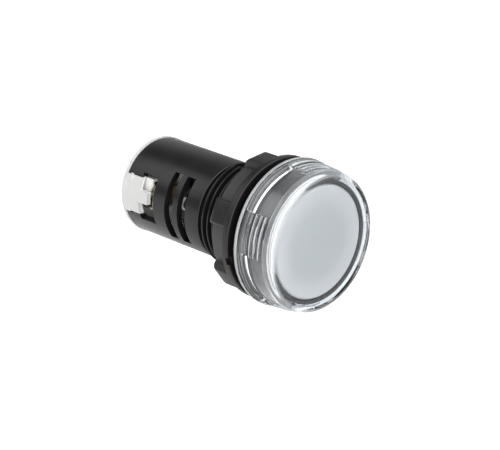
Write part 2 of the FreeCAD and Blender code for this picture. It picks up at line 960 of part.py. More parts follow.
def main():
    os.makedirs("parts", exist_ok=True)
    for name, shape in build().items():
        shape.exportStep(f"parts/{name}.step")
        print(f"{name}: {shape.Volume:.1f} mm3, solids {len(shape.Solids)}, valid {shape.isValid()}")


main()
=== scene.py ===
# %% [markdown]
# A panel pilot light: a clear ribbed cap over an opal disc, a black threaded barrel with a
# finger nut, and a white terminal block behind windows in the barrel's sides.
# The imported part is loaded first. It holds every solid at its real size and place, and most
# of the solids only need a finish. The housing, the nut, the gasket and the cap are drawn
# again here, with the small roundings and the sloping thread that the plain solids lack. They
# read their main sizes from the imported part, so they stay in step with it.

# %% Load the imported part
import math

import bmesh
import bpy
from mathutils import Matrix, Vector


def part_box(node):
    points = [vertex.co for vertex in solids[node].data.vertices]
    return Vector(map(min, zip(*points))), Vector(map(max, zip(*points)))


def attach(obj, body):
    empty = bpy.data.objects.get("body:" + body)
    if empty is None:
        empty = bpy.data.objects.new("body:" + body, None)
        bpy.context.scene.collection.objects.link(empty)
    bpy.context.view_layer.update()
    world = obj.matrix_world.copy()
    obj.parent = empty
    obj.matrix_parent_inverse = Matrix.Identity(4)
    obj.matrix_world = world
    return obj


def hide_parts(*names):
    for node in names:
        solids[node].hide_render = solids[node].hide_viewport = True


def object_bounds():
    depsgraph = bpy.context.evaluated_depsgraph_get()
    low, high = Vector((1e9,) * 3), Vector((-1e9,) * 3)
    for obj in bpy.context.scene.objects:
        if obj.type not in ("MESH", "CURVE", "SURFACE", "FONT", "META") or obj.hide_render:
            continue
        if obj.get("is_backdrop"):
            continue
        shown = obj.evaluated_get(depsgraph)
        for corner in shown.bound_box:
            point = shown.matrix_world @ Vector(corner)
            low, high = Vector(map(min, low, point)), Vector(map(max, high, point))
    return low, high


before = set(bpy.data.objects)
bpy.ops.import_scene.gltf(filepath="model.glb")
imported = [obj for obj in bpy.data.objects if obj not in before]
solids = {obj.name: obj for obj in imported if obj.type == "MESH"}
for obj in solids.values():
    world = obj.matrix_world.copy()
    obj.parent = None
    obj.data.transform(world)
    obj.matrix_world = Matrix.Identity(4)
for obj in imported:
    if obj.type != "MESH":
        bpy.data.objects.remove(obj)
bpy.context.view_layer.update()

MM = 0.001
print("solids in the frame:", len(solids))

# %% [markdown]
# Nearly everything on the lamp is round, so a point is given by a radius, an angle and a
# station along the lamp's axis, +Y. Angles start at +X and grow towards +Z. Coordinates by
# hand would do as well, but would hide which points belong to one ring. Meshes are drawn in
# millimetres and shrunk to metres at the end, because modelling tools work better on numbers
# near one.

# %% Read the main sizes from the frame
def extent(node):
    """Outer radius, front and rear of a round node, in millimetres."""
    low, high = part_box(node)
    return high.x / MM, low.y / MM, high.y / MM


rim_radius, cap_front, cap_rear = extent("lens_cap")
gasket_radius, gasket_front, gasket_rear = extent("panel_gasket")
nut_radius, nut_front, nut_rear = extent("lock_nut")
_, partition_front, _ = extent("terminal_block")
flange_radius, collar_front, barrel_end = extent("barrel_housing")
disc_radius, _, _ = extent("diffuser")
print("cap radius", round(rim_radius, 2), "mm, barrel ends at", round(barrel_end, 2), "mm")


# %% [markdown]
# Two helpers place points. One takes a radius, an angle and a station. The other takes a flat
# plan, such as a lug's, which is easier to draw on squared paper, and turns it to its place.

# %% Place points by radius, angle and station
def spot(radius, angle_deg, y):
    """A point at a radius and angle round the lamp, y along it."""
    angle = math.radians(angle_deg)
    return (radius * math.cos(angle), y, radius * math.sin(angle))


def plan_row(plan, y, turn_deg):
    """The points (x, z) of a flat plan at one station, turned about the lamp's axis."""
    polar = [(math.hypot(x, z), math.degrees(math.atan2(z, x))) for x, z in plan]
    return [spot(radius, angle_deg + turn_deg, y) for radius, angle_deg in polar]


print("the cap's topmost point:", [round(v, 2) for v in spot(rim_radius, 90, cap_rear)])

# %% [markdown]
# Real mouldings have no knife edges. A Bevel modifier could round the finished mesh, but it
# rounds every edge alike and struggles where features meet. Here an outline is a row of
# corners with a rounding of its own for each, drawn as a short arc before there is a mesh, so
# each edge gets the radius that its mould gave it and catches light along it.

# %% Round the corners of an outline
ARC_STEPS = 4


def rounded(corners):
    """Points of an outline from corners (radius, y) or (radius, y, rounding)."""
    points = []
    for i, corner in enumerate(corners):
        here = Vector(corner[:2])
        if len(corner) < 3:
            points.append(here)
            continue
        before = (Vector(corners[i - 1][:2]) - here).normalized()
        after = (Vector(corners[(i + 1) % len(corners)][:2]) - here).normalized()
        half = before.angle(after) / 2
        reach = corner[2] / math.tan(half)
        centre = here + (before + after).normalized() * corner[2] / math.sin(half)
        start = here + before * reach - centre
        turn = math.pi - 2 * half
        side = 1 if before.x * after.y - before.y * after.x < 0 else -1
        for k in range(ARC_STEPS + 1):
            points.append(centre + Matrix.Rotation(side * turn * k / ARC_STEPS, 2) @ start)
    return [(p.x, p.y) for p in points]


print("points on a rounded corner:", ARC_STEPS + 1)

# %% [markdown]
# A Spin or Screw modifier turns an outline into a ring, but not into a cap whose radius
# changes with the angle, nor into a thread that stops and starts. So one function joins any
# row of outlines into a closed skin. A ring closes on itself, and an arc gets a lid at each
# end. Turned walls, lugs, thread ridges and blocks all come from it.

# %% Skin a row of outlines
WELD = 1e-5


def skin(name, rows, closed):
    """A mesh through rows of points, closed round the lamp or capped at both ends."""
    count = len(rows[0])
    faces = []
    for i in range(len(rows) if closed else len(rows) - 1):
        j = (i + 1) % len(rows)
        for k in range(count):
            m = (k + 1) % count
            faces.append((i * count + k, i * count + m, j * count + m, j * count + k))
    if not closed:
        last = (len(rows) - 1) * count
        faces.append(tuple(range(count)))
        faces.append(tuple(last + k for k in reversed(range(count))))
    mesh = bpy.data.meshes.new(name)
    mesh.from_pydata([p for row in rows for p in row], [], faces)
    work = bmesh.new()
    work.from_mesh(mesh)
    bmesh.ops.remove_doubles(work, verts=work.verts, dist=WELD)
    bmesh.ops.dissolve_degenerate(work, edges=work.edges, dist=WELD)
    bmesh.ops.recalc_face_normals(work, faces=work.faces)
    work.to_mesh(mesh)
    work.free()
    piece = bpy.data.objects.new(name, mesh)
    bpy.context.scene.collection.objects.link(piece)
    return piece


# %% [markdown]
# Three shapes need no more than that skin: a full ring, part of a ring, and a block between
# pairs of planes. A ring of 240 steps shows no corners at this size.

# %% Rings, arcs and blocks
RING_STEPS = 240
ARC_STEP_DEG = 3


def turned(name, corners):
    """A ring turned about the lamp's axis from an outline."""
    outline = rounded(corners)
    rows = []
    for i in range(RING_STEPS):
        rows.append([spot(r, 360 * i / RING_STEPS, y) for r, y in outline])
    return skin(name, rows, True)


def arc(name, corners, centre_deg, width_deg, pitch=0.0):
    """Part of a ring, or of a thread where pitch is its rise in a turn."""
    outline = rounded(corners)
    steps = max(2, int(width_deg / ARC_STEP_DEG))
    rows = []
    for i in range(steps + 1):
        turn = width_deg * (i / steps - 0.5)
        rows.append([spot(r, centre_deg + turn, y - pitch * turn / 360) for r, y in outline])
    return skin(name, rows, False)


def brick(name, x, y, z, turn_deg=0.0):
    """A block between pairs of planes, turned about the lamp's axis."""
    plan = [(x[0], z[0]), (x[1], z[0]), (x[1], z[1]), (x[0], z[1])]
    return skin(name, [plan_row(plan, station, turn_deg) for station in y], False)


print("a step round the rim is", round(2 * math.pi * rim_radius / RING_STEPS, 2), "mm")

# %% [markdown]
# A moulding is the sum of its features less its openings, as in its steel mould. The exact
# boolean solver does both, and leaves one watertight skin. It is slower than the fast solver,
# but it copes with faces that lie in one plane, and the lamp has many.

# %% Join and cut
def combine(piece, others, operation):
    """Applies the others to piece, UNION or DIFFERENCE, and removes them."""
    group = bpy.data.collections.new(piece.name + "_tools")
    for other in others:
        group.objects.link(other)
    change = piece.modifiers.new(operation, "BOOLEAN")
    change.operation = operation
    change.operand_type = "COLLECTION"
    change.collection = group
    change.solver = "EXACT"
    view = bpy.context.evaluated_depsgraph_get()
    mesh = bpy.data.meshes.new_from_object(piece.evaluated_get(view))
    piece.modifiers.clear()
    piece.data = mesh
    for other in others:
        bpy.data.objects.remove(other)
    bpy.data.collections.remove(group)
    print(operation.lower(), "of", piece.name, "with", len(others), "pieces")


# %% [markdown]
# A finished piece takes the place of its plain solid. It rides the body that carries the
# solid, so it moves with it. Shading is smooth over the arcs, and stays sharp where two faces
# meet at more than the angle between two steps of an arc.

# %% Put a piece in its place
SHARP_DEG = 32.0


def settle(piece, body, slot, *nodes):
    """Shrinks a finished piece to metres, smooths it and gives it its place in the lamp."""
    mesh = piece.data
    mesh.transform(Matrix.Scale(MM, 4))
    mesh.shade_smooth()
    mesh.set_sharp_from_angle(angle=math.radians(SHARP_DEG))
    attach(piece, body)
    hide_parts(*nodes)
    print(piece.name, len(mesh.polygons), "faces")


# %% [markdown]
# The housing is one black moulding: a collar inside the cap, a flange, a neck the size of the
# panel hole, a thread and the barrel. These are its radii and stations in millimetres. The
# panel's front is at nought.

# %% Sizes of the housing
barrel_radius = 10.25
bore_radius = 8.9
collar_radius = 12.7
collar_bore_radius = 11.95
flange_front = -2.2
relief_radius = 10.6
neck_end = 1.3
thread_radius = 10.9
thread_root_radius = 9.6
thread_end = 14.95
edge = 0.12
sunk = 0.25  # how deep a feature is rooted in the wall that carries it
spare = 1.0  # how far a cutter goes past the face that it cuts
print("the thread is", round(thread_radius - thread_root_radius, 2), "mm deep")

# %% [markdown]
# The thread is a right-hand one with a pitch of 1.5 mm. A Screw modifier makes a thread that
# runs through. This one is moulded, and its mould parts along the top and the bottom, where a
# running ridge would lock it. So each turn is two arcs that stop short of the parting lines,
# and each arc climbs by its share of the pitch.

# %% Thread ridges
thread_pitch = 1.5
thread_gap_deg = 26.0
thread_last = thread_end - 1.9
thread_crest = 0.3
thread_base = 0.8


def thread_ridges():
    """The interrupted ridges of a right-hand thread."""
    ridges = []
    y = thread_last
    while y - thread_base / 2 > neck_end:
        outline = [
            (thread_root_radius - sunk, y - thread_base / 2),
            (thread_root_radius, y - thread_base / 2),
            (thread_radius, y - thread_crest / 2, edge / 2),
            (thread_radius, y + thread_crest / 2, edge / 2),
            (thread_root_radius, y + thread_base / 2),
            (thread_root_radius - sunk, y + thread_base / 2),
        ]
        for side in (0.0, 180.0):
            ridges.append(arc("ridge", outline, side, 180.0 - thread_gap_deg, thread_pitch))
        y -= thread_pitch
    print("thread ridges:", len(ridges))
    return ridges


# %% [markdown]
# The cap is held by a bayonet: four lugs on the collar, and four in the cap that turn under
# them until they meet a stop. They show faintly through the clear wall. Each is a short arc
# of a ring, the same tool as for the thread, with no rise.

# %% Bayonet lugs
lug_count = 4
lug_step_deg = 360 / lug_count
lug_phase_deg = 170.0
lug_width_deg = 16.0
stop_width_deg = 6.0
stop_overlap_deg = 0.2
lug_front = collar_front + 2.4
lug_rear = lug_front + 1.0
lug_radius = collar_radius + 0.5


def collar_lugs():
    """Lugs that the cap's own lugs turn under, each with a stop."""
    lugs = []
    inner = collar_radius - sunk
    lug = [
        (inner, lug_front), (lug_radius, lug_front, edge),
        (lug_radius, lug_rear, edge), (inner, lug_rear),
    ]
    stop = [
        (inner, lug_front), (lug_radius, lug_front),
        (lug_radius, flange_front), (inner, flange_front),
    ]
    beyond = (lug_width_deg + stop_width_deg) / 2
    for i in range(lug_count):
        angle = lug_phase_deg + i * lug_step_deg
        lugs.append(arc("lug", lug, angle, lug_width_deg))
        lugs.append(arc("stop", stop, angle - beyond, stop_width_deg + stop_overlap_deg))
    print("collar lugs and stops:", len(lugs))
    return lugs


# %% [markdown]
# In the bore, two pairs of ribs hold the edges of the driver board. They are plain blocks
# whose roots stand in the barrel's wall.

# %% Guide ribs
rib_front = 6.0
rib_rear = partition_front - 0.3
rib_inner = 0.9
rib_outer = 1.7
rib_tip = 7.8
rib_root = (bore_radius + barrel_radius) / 2 - 0.15


def guide_ribs():
    """Ribs in the bore that hold the edges of the driver board."""
    ribs = []
    for side in (-1, 1):
        for up in (-1, 1):
            x = sorted((side * rib_inner, side * rib_outer))
            z = sorted((up * rib_tip, up * rib_root))
            ribs.append(brick("rib", x, (rib_front, rib_rear), z))
    print("guide ribs:", len(ribs))
    return ribs


# %% [markdown]
# Each side of the barrel has two cooling slots, and a wire window that flares outwards so that
# a wire finds its way. The window's tail runs to the barrel's end, where the terminal block
# slides in, and ends in two teeth that hold the block. The openings are drawn as solid
# cutters, because what is cut away is simpler than what stays.

# %% Windows and cooling slots
window_front = barrel_end - 9.0
tail_front = barrel_end - 4.5
tail_half = 4.0
throat_half = 4.25
mouth_half = 5.0
tooth_front = barrel_end - 1.91
tooth_rear = barrel_end - 0.89
tooth_half = 4.3
vent_count = 2
vent_half = 6.9
vent_width = 2.35
vent_pitch = 3.85
vent_rear = barrel_end - 12.5
far = barrel_radius + 3.0  # how far out the cutters reach


def slots(turn_deg):
    """Cutters for one side of the barrel: a flared window with its tail, and the vents."""
    wall_inner = math.sqrt(bore_radius ** 2 - mouth_half ** 2)
    wall_outer = math.sqrt(barrel_radius ** 2 - mouth_half ** 2)
    flare = (mouth_half - throat_half) / (wall_outer - wall_inner)
    far_half = mouth_half + flare * (far - wall_outer)
    deep = wall_inner - spare
    plan = [
        (deep, -throat_half), (wall_inner, -throat_half), (far, -far_half),
        (far, far_half), (wall_inner, throat_half), (deep, throat_half),
    ]
    stations = (window_front, tail_front + edge)
    cutters = [skin("window", [plan_row(plan, y, turn_deg) for y in stations], False)]
    tail = (-tail_half, tail_half)
    beyond = barrel_end + spare
    cutters.append(brick("tail", (deep, far), (tail_front, beyond), tail, turn_deg))
    teeth = (-tooth_half, tooth_half)
    cutters.append(brick("tooth", (deep, far), (tooth_front, tooth_rear), teeth, turn_deg))
    near = math.sqrt(bore_radius ** 2 - vent_half ** 2) - spare
    for i in range(vent_count):
        rear = vent_rear - i * vent_pitch
        span = (rear - vent_width, rear)
        cutters.append(brick("vent", (near, far), span, (-vent_half, vent_half), turn_deg))
    return cutters


# %% [markdown]
# The housing's outline runs once round its wall: back along the bore, forward along the
# barrel, the thread's root, the neck and the flange, and round the collar. The features are
# joined to it first and the openings cut last, so that an opening also cuts what was joined.

# %% Make the housing
housing = turned("housing_moulding", [
    (bore_radius, flange_front),
    (bore_radius, barrel_end),
    (barrel_radius, barrel_end, edge),
    (barrel_radius, thread_end, 2 * edge),
    (thread_root_radius, thread_end),
    (thread_root_radius, neck_end),
    (thread_radius, neck_end, edge),
    (thread_radius, 0.0, edge),
    (relief_radius, 0.0),
    (relief_radius, gasket_front),
    (flange_radius, gasket_front, edge),
    (flange_radius, flange_front, edge),
    (collar_radius, flange_front),
    (collar_radius, collar_front, 2 * edge),
    (collar_bore_radius, collar_front, edge),
    (collar_bore_radius, flange_front),
])
combine(housing, thread_ridges() + collar_lugs() + guide_ribs(), "UNION")
combine(housing, slots(0.0) + slots(180.0), "DIFFERENCE")
settle(housing, "root", "housing_nylon", "barrel_housing")

# %% [markdown]
# The lock nut is a flange and a hub, with six lugs that run back from the flange for the
# fingers. A lug's outer rear edge is well rounded, where fingers push it. So a lug is a row
# of plans, one above the other, whose outer side follows a quarter circle. A small notch in
# the flange's rim shows where the mould was filled.

# %% Sizes of the lock nut
nut_bore_radius = 10.98
nut_hub_radius = 13.0
nut_flange_rear = nut_front + 1.75
finger_count = 6
finger_radius = nut_radius - 0.25
finger_half = 2.6
finger_phase_deg = 161.5
finger_round = 1.5
finger_corner = 0.5
finger_rear = nut_rear - 0.02
notch_deg = 198.0
notch_half = 0.8
notch_depth = 0.7


def finger(turn_deg):
    """One finger lug, with its outer rear edge and its sides rounded."""
    root = (nut_bore_radius + nut_hub_radius) / 2
    stations = [(finger_radius, nut_flange_rear - sunk)]
    for k in range(ARC_STEPS + 1):
        bend = math.pi / 2 * k / ARC_STEPS
        out = finger_radius - finger_round * (1 - math.cos(bend))
        stations.append((out, finger_rear - finger_round * (1 - math.sin(bend))))
    rows = []
    for out, y in stations:
        plan = rounded([
            (root, -finger_half), (out, -finger_half, finger_corner),
            (out, finger_half, finger_corner), (root, finger_half),
        ])
        rows.append(plan_row(plan, y, turn_deg))
    return skin("finger", rows, False)


print("the nut is", round(nut_rear - nut_front, 2), "mm thick")

# %% [markdown]
# The nut's flange and hub are one ring, moulded in one piece with the lugs. So the ring is
# turned first, the six lugs are joined to it, and the notch is cut last. Six copies made by
# an Array modifier would do too, but a loop keeps the lugs' places in plain numbers.

# %% Make the lock nut
nut = turned("finger_nut", [
    (nut_bore_radius, nut_front, edge),
    (nut_radius, nut_front, 2 * edge),
    (nut_radius, nut_flange_rear, 2 * edge),
    (nut_hub_radius, nut_flange_rear, edge),
    (nut_hub_radius, nut_rear, 3 * edge),
    (nut_bore_radius, nut_rear, edge),
])
fingers = [finger(finger_phase_deg + i * 360 / finger_count) for i in range(finger_count)]
combine(nut, fingers, "UNION")
notch = brick("notch", (nut_radius - spare, nut_radius + spare),
              (nut_front - spare, nut_front + notch_depth), (-notch_half, notch_half), notch_deg)
combine(nut, [notch], "DIFFERENCE")
settle(nut, "lock_nut", "nut_nylon", "lock_nut")

# %% [markdown]
# The gasket is a flat rubber ring between the flange and the panel. A plain ring would do,
# but the rounded edge gives it the thin line of light that sets it off from the flange.

# %% Make the gasket
gasket_bore_radius = 10.95
gasket = turned("rubber_gasket", [
    (gasket_bore_radius, gasket_front, edge),
    (gasket_radius, gasket_front, 2 * edge),
    (gasket_radius, gasket_rear, 2 * edge),
    (gasket_bore_radius, gasket_rear, edge),
])
settle(gasket, "root", "gasket_rubber", "panel_gasket")

# %% [markdown]
# The cap is one clear moulding: a rim, a band, a smooth wall and a ring round the flat face,
# with four grip pads that stand out of the wall. Each pad has a land and four grooves. Pads
# joined on by booleans would leave faces inside the clear plastic, which glass shows at once.
# So the cap is drawn as one skin whose radius changes with the angle.

# %% Sizes of the cap
cap_bore_radius = 13.4
cap_wall_radius = 14.35
cap_skirt_radius = 14.35
cap_band_radius = 15.0
cap_ring_radius = 14.6
cap_face_radius = 14.3
cap_face_round = 1.5
cap_ceiling = cap_front + 2.0
cap_ceiling_round = 0.4
rim_front = cap_rear - 0.75
rim_round = 0.15
band_front = rim_front - 2.0
ring_rear = cap_front + 2.4
ring_land = 0.35
skirt_front = flange_front - 0.15
pad_rear_radius = 15.25
pad_front_radius = 14.75
groove_count = 4
groove_depth = 0.4
ridge_width = 0.2
fine = 0.05
groove_width = (band_front - ring_rear - (groove_count - 1) * ridge_width) / groove_count
print("a groove of a grip pad is", round(groove_width, 2), "mm wide")


# %% [markdown]
# A pad tapers a little towards the front, as a moulding must to leave its mould. The wall
# between the pads is straight, and meets the band in a chamfer. Both are written as a radius
# at a place along the lamp, because the cap's skin needs the two at the same stations.

# %% Radius of a pad and of the wall
def crest(y):
    """Radius of a pad's crest at a place along the lamp."""
    share = (rim_front - y) / (rim_front - ring_rear)
    return pad_rear_radius + (pad_front_radius - pad_rear_radius) * share


def wall(y):
    """Radius of the smooth wall between the pads."""
    chamfer = cap_band_radius - cap_wall_radius
    fall = min(max((band_front + chamfer - y) / chamfer, 0.0), 1.0)
    return cap_band_radius - chamfer * fall


print("the pads stand out by", round(crest(band_front) - wall(band_front), 2), "mm")

# %% [markdown]
# The outline starts at the rim and goes forward over the shoulder and the four grooves, with
# thin ridges between them, to the ring and the flat face. The inside goes back again: the
# ceiling that stands off the disc, the bore, and the skirt that clears the flange.

# %% Outline of a pad and of the cap's inside
shoulder = band_front + cap_band_radius - cap_wall_radius
outside = [
    (rim_radius, cap_rear, rim_round),
    (rim_radius, rim_front, rim_round),
    (crest(rim_front), rim_front, fine),
    (crest(shoulder + fine), shoulder + fine),
    (crest(shoulder - fine), shoulder - fine),
    (crest(band_front), band_front, fine),
]
for i in range(groove_count):
    behind = band_front - i * (groove_width + ridge_width)
    ahead = behind - groove_width
    outside.append((crest(behind) - groove_depth, behind, fine))
    outside.append((crest(ahead) - groove_depth, ahead, fine))
    if i < groove_count - 1:
        outside.append((crest(ahead), ahead, fine))
        outside.append((crest(ahead - ridge_width), ahead - ridge_width, fine))
outside.append((cap_ring_radius, ring_rear, fine))
outside.append((cap_ring_radius, ring_rear - ring_land, fine))
outside.append((cap_face_radius, cap_front, cap_face_round))
inside = [
    (0.0, cap_front),
    (0.0, cap_ceiling),
    (cap_bore_radius, cap_ceiling, cap_ceiling_round),
    (cap_bore_radius, skirt_front),
    (cap_skirt_radius, skirt_front),
    (cap_skirt_radius, cap_rear),
]
cap_outline = rounded(outside + inside)
print("points in the cap's outline:", len(cap_outline))

# %% [markdown]
# Every row of the cap's skin has the same outline, but between the pads its outer points are
# pulled back on to the wall. A pad's ends are ramps an eighth of a millimetre long, because a
# dead sharp step would never leave a mould. Rows stand closer there, to draw the ramp.

# %% Pads round the cap
pad_halves_deg = (17.0, 22.5)
pad_ramp_deg = 0.5
RAMP_STEPS = 4


def pad_share(angle_deg):
    """One on a pad, nought between pads, eased over the ramp."""
    quarter, turn = divmod(angle_deg - lug_phase_deg + lug_step_deg / 2, lug_step_deg)
    half_deg = pad_halves_deg[int(quarter) % 2]
    from_middle = abs(turn - lug_step_deg / 2)
    share = min(max((half_deg + pad_ramp_deg / 2 - from_middle) / pad_ramp_deg, 0.0), 1.0)
    return share * share * (3 - 2 * share)


def cap_row(angle_deg):
    """The cap's outline at one angle."""
    share = pad_share(angle_deg)
    row = []
    for radius, y in cap_outline:
        if ring_rear < y < rim_front and radius > cap_bore_radius + fine:
            smooth = wall(y)
            radius = smooth + (radius - smooth) * share
        row.append(spot(radius, angle_deg, y))
    return row


angles = [360 * i / RING_STEPS for i in range(RING_STEPS)]
for i in range(lug_count):
    for end in (-pad_halves_deg[i % 2], pad_halves_deg[i % 2]):
        for k in range(RAMP_STEPS + 1):
            ramp = pad_ramp_deg * (k / RAMP_STEPS - 0.5)
            angles.append((lug_phase_deg + i * lug_step_deg + end + ramp) % 360)
cap = skin("clear_cap", [cap_row(angle) for angle in sorted(set(angles))], True)
print("rows round the cap:", len(set(angles)))

# %% [markdown]
# The cap's own bayonet lugs stand inside its bore, just behind those of the collar. They are
# rooted in the wall and joined by a boolean, so that the clear plastic stays one volume.

# %% Add the cap's own lugs
cap_lug_inner = collar_radius + 0.2
cap_lug_root = cap_bore_radius + sunk
cap_lug_front = lug_rear + 0.15
cap_lug_rear = cap_lug_front + 1.0
cap_lug_width_deg = lug_width_deg - 1.0
cap_lug_outline = [
    (cap_lug_inner, cap_lug_front, edge), (cap_lug_root, cap_lug_front),
    (cap_lug_root, cap_lug_rear), (cap_lug_inner, cap_lug_rear, edge),
]
cap_lugs = []
for i in range(lug_count):
    angle = lug_phase_deg + i * lug_step_deg
    cap_lugs.append(arc("cap_lug", cap_lug_outline, angle, cap_lug_width_deg))
combine(cap, cap_lugs, "UNION")
settle(cap, "lens_cap", "clear_polycarbonate", "lens_cap")

# %% [markdown]
# Now the finishes. Each starts from what the real surface is. Colours are written as sRGB hex
# values, as a colour picker gives them, and one function turns them into the linear numbers
# that the renderer needs.

# %% Colours
def linear(code):
    """An sRGB hex value as linear red, green, blue and alpha."""
    shares = [int(code[i:i + 2], 16) / 255 for i in (1, 3, 5)]
    values = []
    for share in shares:
        values.append(share / 12.92 if share <= 0.04045 else ((share + 0.055) / 1.055) ** 2.4)
    return values + [1.0]


print("mid grey is", round(linear("#808080")[0], 3), "in linear numbers")


# %% [markdown]
# A finish is a small tree of nodes. Wiring it by code takes three lines a node, so one
# function adds a node, sets it and links it. The others start a finish, open one again for
# one more trait, and measure the distance from the axis and the place along it, because most
# of what changes on a round thing changes with those two.

# %% Node helpers
def add(tree, kind, settings=None, links=None):
    """Adds a node, sets its inputs or properties, and links its inputs."""
    node = tree.nodes.new(kind)
    for name, value in (settings or {}).items():
        if isinstance(name, int) or name in node.inputs:
            node.inputs[name].default_value = value
        else:
            setattr(node, name, value)
    for name, source in (links or {}).items():
        tree.links.new(source, node.inputs[name])
    return node


def material(name):
    """An empty node material with its tree, its place socket and its output node."""
    finish = bpy.data.materials.new(name)
    finish.use_nodes = True
    tree = finish.node_tree
    tree.nodes.clear()
    place = add(tree, "ShaderNodeTexCoord")
    output = add(tree, "ShaderNodeOutputMaterial")
    return finish, tree, place.outputs["Object"], output


def opened(finish):
    """The tree, place socket and shader of a finish that gets one more trait."""
    tree = finish.node_tree
    place = next(node for node in tree.nodes if node.type == "TEX_COORD").outputs["Object"]
    surface = next(node for node in tree.nodes if node.type == "BSDF_PRINCIPLED")
    return tree, place, surface


def reach_and_station(tree, place):
    """Sockets with the distance from the lamp's axis and the place along it."""
    flat = add(tree, "ShaderNodeVectorMath", {"operation": "MULTIPLY", 1: (1.0, 0.0, 1.0)},
               {0: place})
    length = add(tree, "ShaderNodeVectorMath", {"operation": "LENGTH"}, {0: flat.outputs[0]})
    parts = add(tree, "ShaderNodeSeparateXYZ", {}, {0: place})
    return length.outputs["Value"], parts.outputs["Y"]


# %% [markdown]
# Noise has a scale in repeats a metre. One function gives it from a size in millimetres, so
# that each pattern is set by what can be measured on the real thing.

# %% Dress pieces and scale patterns
def dress(target, finish):
    """Gives one finish to an object."""
    target.data.materials.clear()
    target.data.materials.append(finish)


def per_mm(size_mm):
    """Scale of a pattern whose features are size_mm apart."""
    return 1 / (size_mm * MM)


print("a pattern with features 0.5 mm apart has scale", per_mm(0.5))

# %% [markdown]
# Moulded plastic takes the texture of its steel mould. A fine noise stands for the grain that
# sparks or blasting left in the steel, and a slow one, with spots 6 mm apart, for flow marks
# that vary the gloss. The real grain is 0.1 to 0.2 mm wide and too fine to show, so it is
# drawn about twice as coarse. A photographed texture would need a mapping of each piece;
# noise in space needs none. The Bevel node softens the edges of the plain solids.

# %% Moulded plastic
FLOW_MM = 6.0


def moulded(name, colour, second, roughness, gloss_change, grain_mm, grain_depth_mm, round_mm):
    """A moulded plastic with flow marks, mould grain and softened edges."""
    finish, tree, place, output = material(name)
    flow = add(tree, "ShaderNodeTexNoise", {"Scale": per_mm(FLOW_MM), "Detail": 3.0},
               {"Vector": place})
    grain = add(tree, "ShaderNodeTexNoise", {"Scale": per_mm(grain_mm), "Detail": 2.0},
                {"Vector": place})
    tint = add(tree, "ShaderNodeMix", {
        "data_type": "RGBA", 6: linear(colour), 7: linear(second),
    }, {0: grain.outputs[0]})
    shine = add(tree, "ShaderNodeMapRange", {
        "From Min": 0.3, "From Max": 0.7,
        "To Min": roughness - gloss_change, "To Max": roughness + gloss_change,
    }, {"Value": flow.outputs[0]})
    soft = add(tree, "ShaderNodeBevel", {"samples": 4, "Radius": round_mm * MM})
    bump = add(tree, "ShaderNodeBump", {"Strength": 1.0, "Distance": grain_depth_mm * MM},
               {"Height": grain.outputs[0], "Normal": soft.outputs[0]})
    surface = add(tree, "ShaderNodeBsdfPrincipled", {"IOR": 1.5}, {
        "Base Color": tint.outputs[2], "Roughness": shine.outputs[0],
        "Normal": bump.outputs[0],
    })
    tree.links.new(surface.outputs[0], output.inputs[0])
    print("finish", name, "with grain", grain_mm, "mm wide")
    return finish


# %% [markdown]
# The housing is glass-filled nylon from a smooth mould. Nylon's refractive index is near 1.5,
# and a roughness of 0.3 gives the eye a deep black with long soft highlights. Between the
# thread's ridges the gloss is turned down, a painted shade that darkens the gaps as a shadow
# would. The gloss rises with the distance from the axis, and is full again on the barrel
# behind the thread.

# %% Glass-filled nylon of the housing
glass_filled_nylon = moulded("glass_filled_nylon", "#141213", "#1a1819", roughness=0.3,
                             gloss_change=0.04, grain_mm=0.35, grain_depth_mm=0.005,
                             round_mm=0.1)
painted_shade_gloss = 0.08
full_gloss = 0.5
gap_top = thread_radius - 0.5
crest_from = thread_radius - 0.1
barrel_from = thread_end + 0.02
tree, place, surface = opened(glass_filled_nylon)
reach, station = reach_and_station(tree, place)
# Painted shade: between the thread's ridges the gloss drops, which darkens the gaps.
high = add(tree, "ShaderNodeMapRange", {
    "From Min": gap_top * MM, "From Max": crest_from * MM,
}, {"Value": reach})
behind_thread = add(tree, "ShaderNodeMath", {
    "operation": "GREATER_THAN", 1: barrel_from * MM,
}, {0: station})
free_of_painted_shade = add(tree, "ShaderNodeMath", {"operation": "MAXIMUM"},
                     {0: high.outputs[0], 1: behind_thread.outputs[0]})
gloss = add(tree, "ShaderNodeMapRange", {"To Min": painted_shade_gloss, "To Max": full_gloss},
            {"Value": free_of_painted_shade.outputs[0]})
tree.links.new(gloss.outputs[0], surface.inputs["Specular IOR Level"])
dress(housing, glass_filled_nylon)

# %% [markdown]
# The nut is nylon too, from a grained mould that gives fingers a hold. Its hub was finished
# by sparks, which leave a rougher and lighter surface, so the lugs stand out dark against it.
# The hub's faces are found by their radius, because a material slot is chosen face by face.

# %% Nylon of the lock nut
grained_nylon = moulded("grained_nylon", "#151314", "#1d1b1c", roughness=0.36,
                        gloss_change=0.05, grain_mm=0.3, grain_depth_mm=0.01, round_mm=0.12)
sparked_nylon = moulded("sparked_nylon", "#343333", "#403f3f", roughness=0.5,
                        gloss_change=0.05, grain_mm=0.3, grain_depth_mm=0.02, round_mm=0.12)
dress(nut, grained_nylon)
nut.data.materials.append(sparked_nylon)
margin = 0.1
hub_faces = 0
for face in nut.data.polygons:
    centre = face.center / MM
    on_hub = abs(math.hypot(centre.x, centre.z) - nut_hub_radius) < margin
    if on_hub and centre.y > nut_flange_rear + margin:
        face.material_index = 1
        hub_faces += 1
print("sparked faces of the nut:", hub_faces)

# %% [markdown]
# The gasket is black rubber, cut from matt sheet. Its pores swallow nearly all the light that
# a closed surface would reflect, so it is the darkest line on the lamp. Rubber's refractive
# index of 1.5 would give it a sheen, and a low one stands for the pores.

# %% Rubber of the gasket
black_rubber = moulded("black_rubber", "#020203", "#040405", roughness=0.85,
                       gloss_change=0.05, grain_mm=0.2, grain_depth_mm=0.006, round_mm=0.05)
_, _, surface = opened(black_rubber)
surface.inputs["IOR"].default_value = 1.12
dress(gasket, black_rubber)
